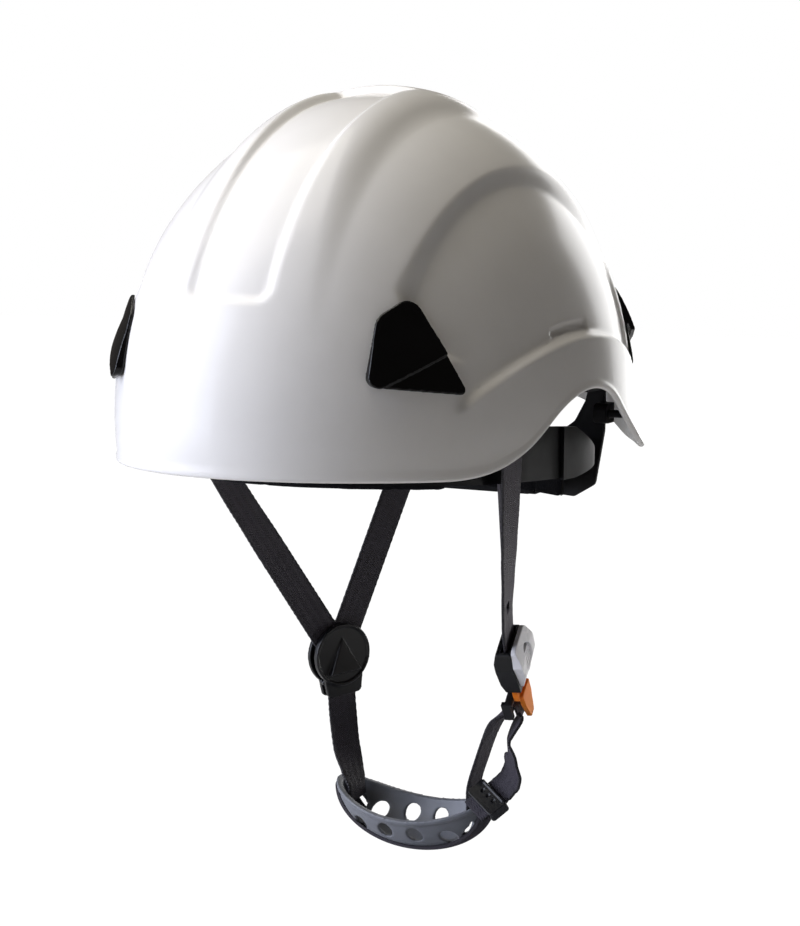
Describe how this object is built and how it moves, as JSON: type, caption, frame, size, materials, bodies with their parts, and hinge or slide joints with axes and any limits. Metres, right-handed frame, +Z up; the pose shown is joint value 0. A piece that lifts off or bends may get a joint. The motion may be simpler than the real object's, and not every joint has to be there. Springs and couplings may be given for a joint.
{
  "type": "climbing safety helmet",
  "caption": "Climbing helmet for tree work: white shell with lamp clips, ratchet headband, webbing chin strap with quick-release buckle, and a chin cup.",
  "frame": {"origin": "centre of the head space, on the level where the shell is widest", "axes": "+Z up, -Y towards the wearer's brow, +X towards the wearer's left"},
  "size_m": [0.2154, 0.3098, 0.3678],
  "materials": {
    "shell_white": "smooth gloss ABS",
    "clip_black": "gloss nylon",
    "webbing": "woven polyester webbing",
    "liner_black": "satin moulded nylon",
    "sweat_foam": "brushed fabric over foam",
    "pad_black": "knitted fabric over foam",
    "strap_black": "satin acetal",
    "buckle_white": "smooth gloss",
    "tab_orange": "smooth satin",
    "cup_grey": "satin rubber",
    "steel": "bright zinc plated"
  },
  "bodies": {
    "helmet": {"outer_shell": "shell_white", "lamp_clip_front_left": "clip_black", "lamp_clip_front_right": "clip_black", "lamp_clip_rear_left": "clip_black", "lamp_clip_rear_right": "clip_black", "cradle_strap_a": "webbing", "cradle_strap_b": "webbing", "cradle_strap_cross": "webbing", "suspension_keys": "liner_black", "headband": "liner_black", "sweatband": "sweat_foam", "size_strap_left": "liner_black", "size_strap_right": "liner_black", "front_strap_brackets": "liner_black", "rear_strap_bracket": "liner_black", "side_webbing_left": "webbing", "side_webbing_right": "webbing", "chin_webbing_right": "webbing", "chin_webbing_left": "webbing", "buckle_body": "strap_black", "buckle_cover": "buckle_white", "button_spring": "steel"},
    "nape_unit": {"nape_support": "liner_black", "nape_pad": "pad_black", "ratchet_housing": "liner_black", "ratchet_cover": "liner_black", "detent_spring": "steel"},
    "size_knob": {"ratchet_knob": "liner_black", "pinion": "liner_black", "knob_screw": "steel"},
    "left_rack": {"rack_left": "liner_black"},
    "right_rack": {"rack_right": "liner_black"},
    "strap_slider": {"slider_back": "strap_black", "slider_front": "strap_black"},
    "buckle_button": {"release_button": "buckle_white"},
    "buckle_tab": {"release_tab": "tab_orange", "tab_bar": "strap_black"},
    "cup": {"chin_cup": "cup_grey", "cup_strap": "webbing", "tri_glide": "strap_black"}
  },
  "joints": [
    {"name": "nape_tilt", "type": "hinge", "parent": "helmet", "child": "nape_unit", "pos_m": [0, 0.098, -0.013], "axis": [1, 0, 0], "range_deg": [-5, 5]},
    {"name": "size_knob_turn", "type": "hinge", "parent": "nape_unit", "child": "size_knob", "pos_m": [0, 0.12, -0.043], "axis": [0, 1, 0], "range_deg": [-76, 76]},
    {"name": "rack_left_slide", "type": "slide", "parent": "nape_unit", "child": "left_rack", "axis": [1, 0, 0], "range_m": [-0.008, 0.008], "deforming": ["size_strap_left"]},
    {"name": "rack_right_slide", "type": "slide", "parent": "nape_unit", "child": "right_rack", "axis": [-1, 0, 0], "range_m": [-0.008, 0.008], "deforming": ["size_strap_right"]},
    {"name": "strap_slider_slide", "type": "slide", "parent": "helmet", "child": "strap_slider", "axis": [-0.017, -0.08, 0.9967], "range_m": [-0.004, 0.004]},
    {"name": "button_press", "type": "slide", "parent": "helmet", "child": "buckle_button", "axis": [-0.9902, -0.118, -0.074], "range_m": [0, 0.0016], "stiffness_N_per_m": 900, "springref_m": -0.0005, "deforming": ["button_spring"]},
    {"name": "tab_release", "type": "slide", "parent": "helmet", "child": "buckle_tab", "axis": [0, 0.53, -0.848], "range_m": [0, 0.012], "deforming": ["chin_webbing_left"]},
    {"name": "chin_cup_lift", "type": "slide", "parent": "helmet", "child": "cup", "axis": [0, 0, 1], "range_m": [0, 0.012], "deforming": ["chin_webbing_right"]}
  ],
  "couplings": [
    {"joint": "rack_left_slide", "follows": "size_knob_turn", "m_per_rad": 0.006},
    {"joint": "rack_right_slide", "follows": "size_knob_turn", "m_per_rad": 0.006}
  ]
}
